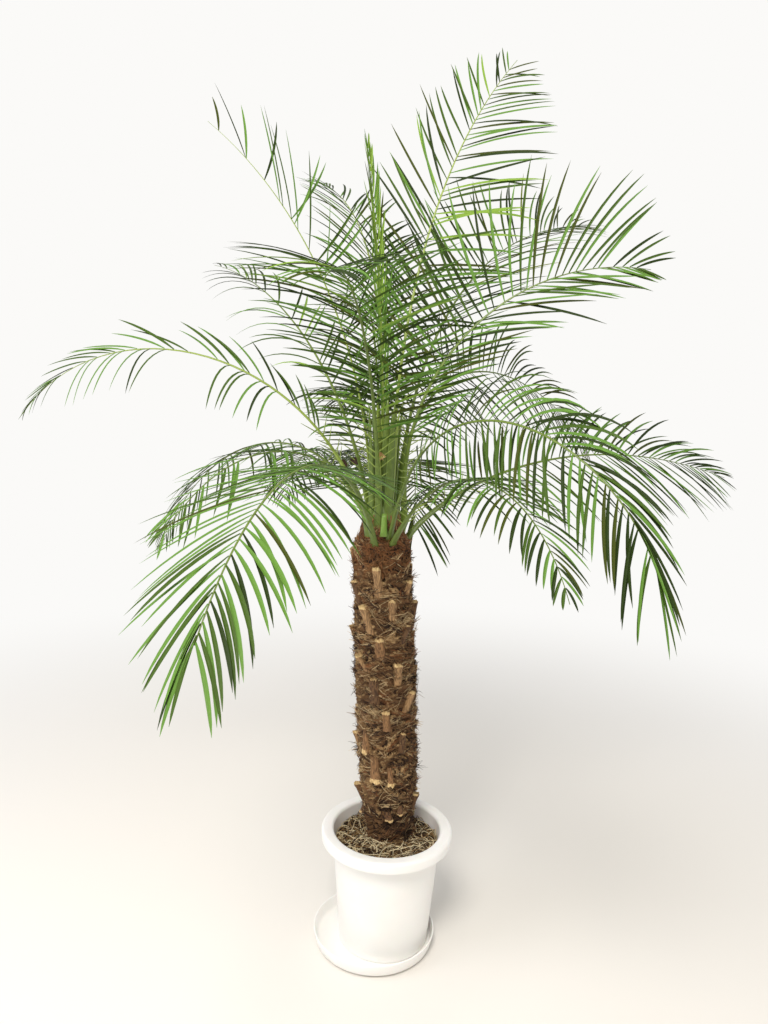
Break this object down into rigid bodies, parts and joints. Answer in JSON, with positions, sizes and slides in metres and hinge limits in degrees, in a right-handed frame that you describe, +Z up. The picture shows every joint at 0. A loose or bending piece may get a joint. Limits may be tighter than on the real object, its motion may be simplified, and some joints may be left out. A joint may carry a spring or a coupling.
{
  "type": "potted pygmy date palm",
  "caption": "Single-stemmed feather palm with arching pinnate fronds over a thick fibrous trunk, in a round white plastic pot that stands in its saucer.",
  "frame": {"origin": "middle of the saucer's flat underside, on the floor", "axes": "+Z up the trunk, -Y to the plant's front as pictured, +X to its right"},
  "size_m": [1.4388, 1.3831, 1.7478],
  "materials": {
    "white_plastic": "smooth moulded white plastic",
    "soil": "damp potting soil under dry root fibres",
    "stem": "fibrous stem with cut leaf bases",
    "leaf": "green leaflets on a pale green rib"
  },
  "bodies": {
    "root": {"saucer": "white_plastic", "pot": "white_plastic", "soil": "soil", "trunk": "stem", "frond_spear": "leaf", "frond_upper_right": "leaf", "frond_upper_left": "leaf", "frond_upper_back": "leaf", "frond_right_arch": "leaf", "frond_right_behind": "leaf", "frond_back_arch": "leaf", "frond_left_upper": "leaf", "frond_left_arch": "leaf", "frond_front_arch": "leaf", "frond_right_back": "leaf", "frond_back_middle": "leaf", "frond_left_back": "leaf", "frond_front_left": "leaf", "frond_right_front": "leaf", "frond_right_low": "leaf", "frond_back_right_low": "leaf", "frond_back_low": "leaf", "frond_back_left_low": "leaf", "frond_front_low": "leaf", "frond_front_right": "leaf"}
  },
  "joints": []
}
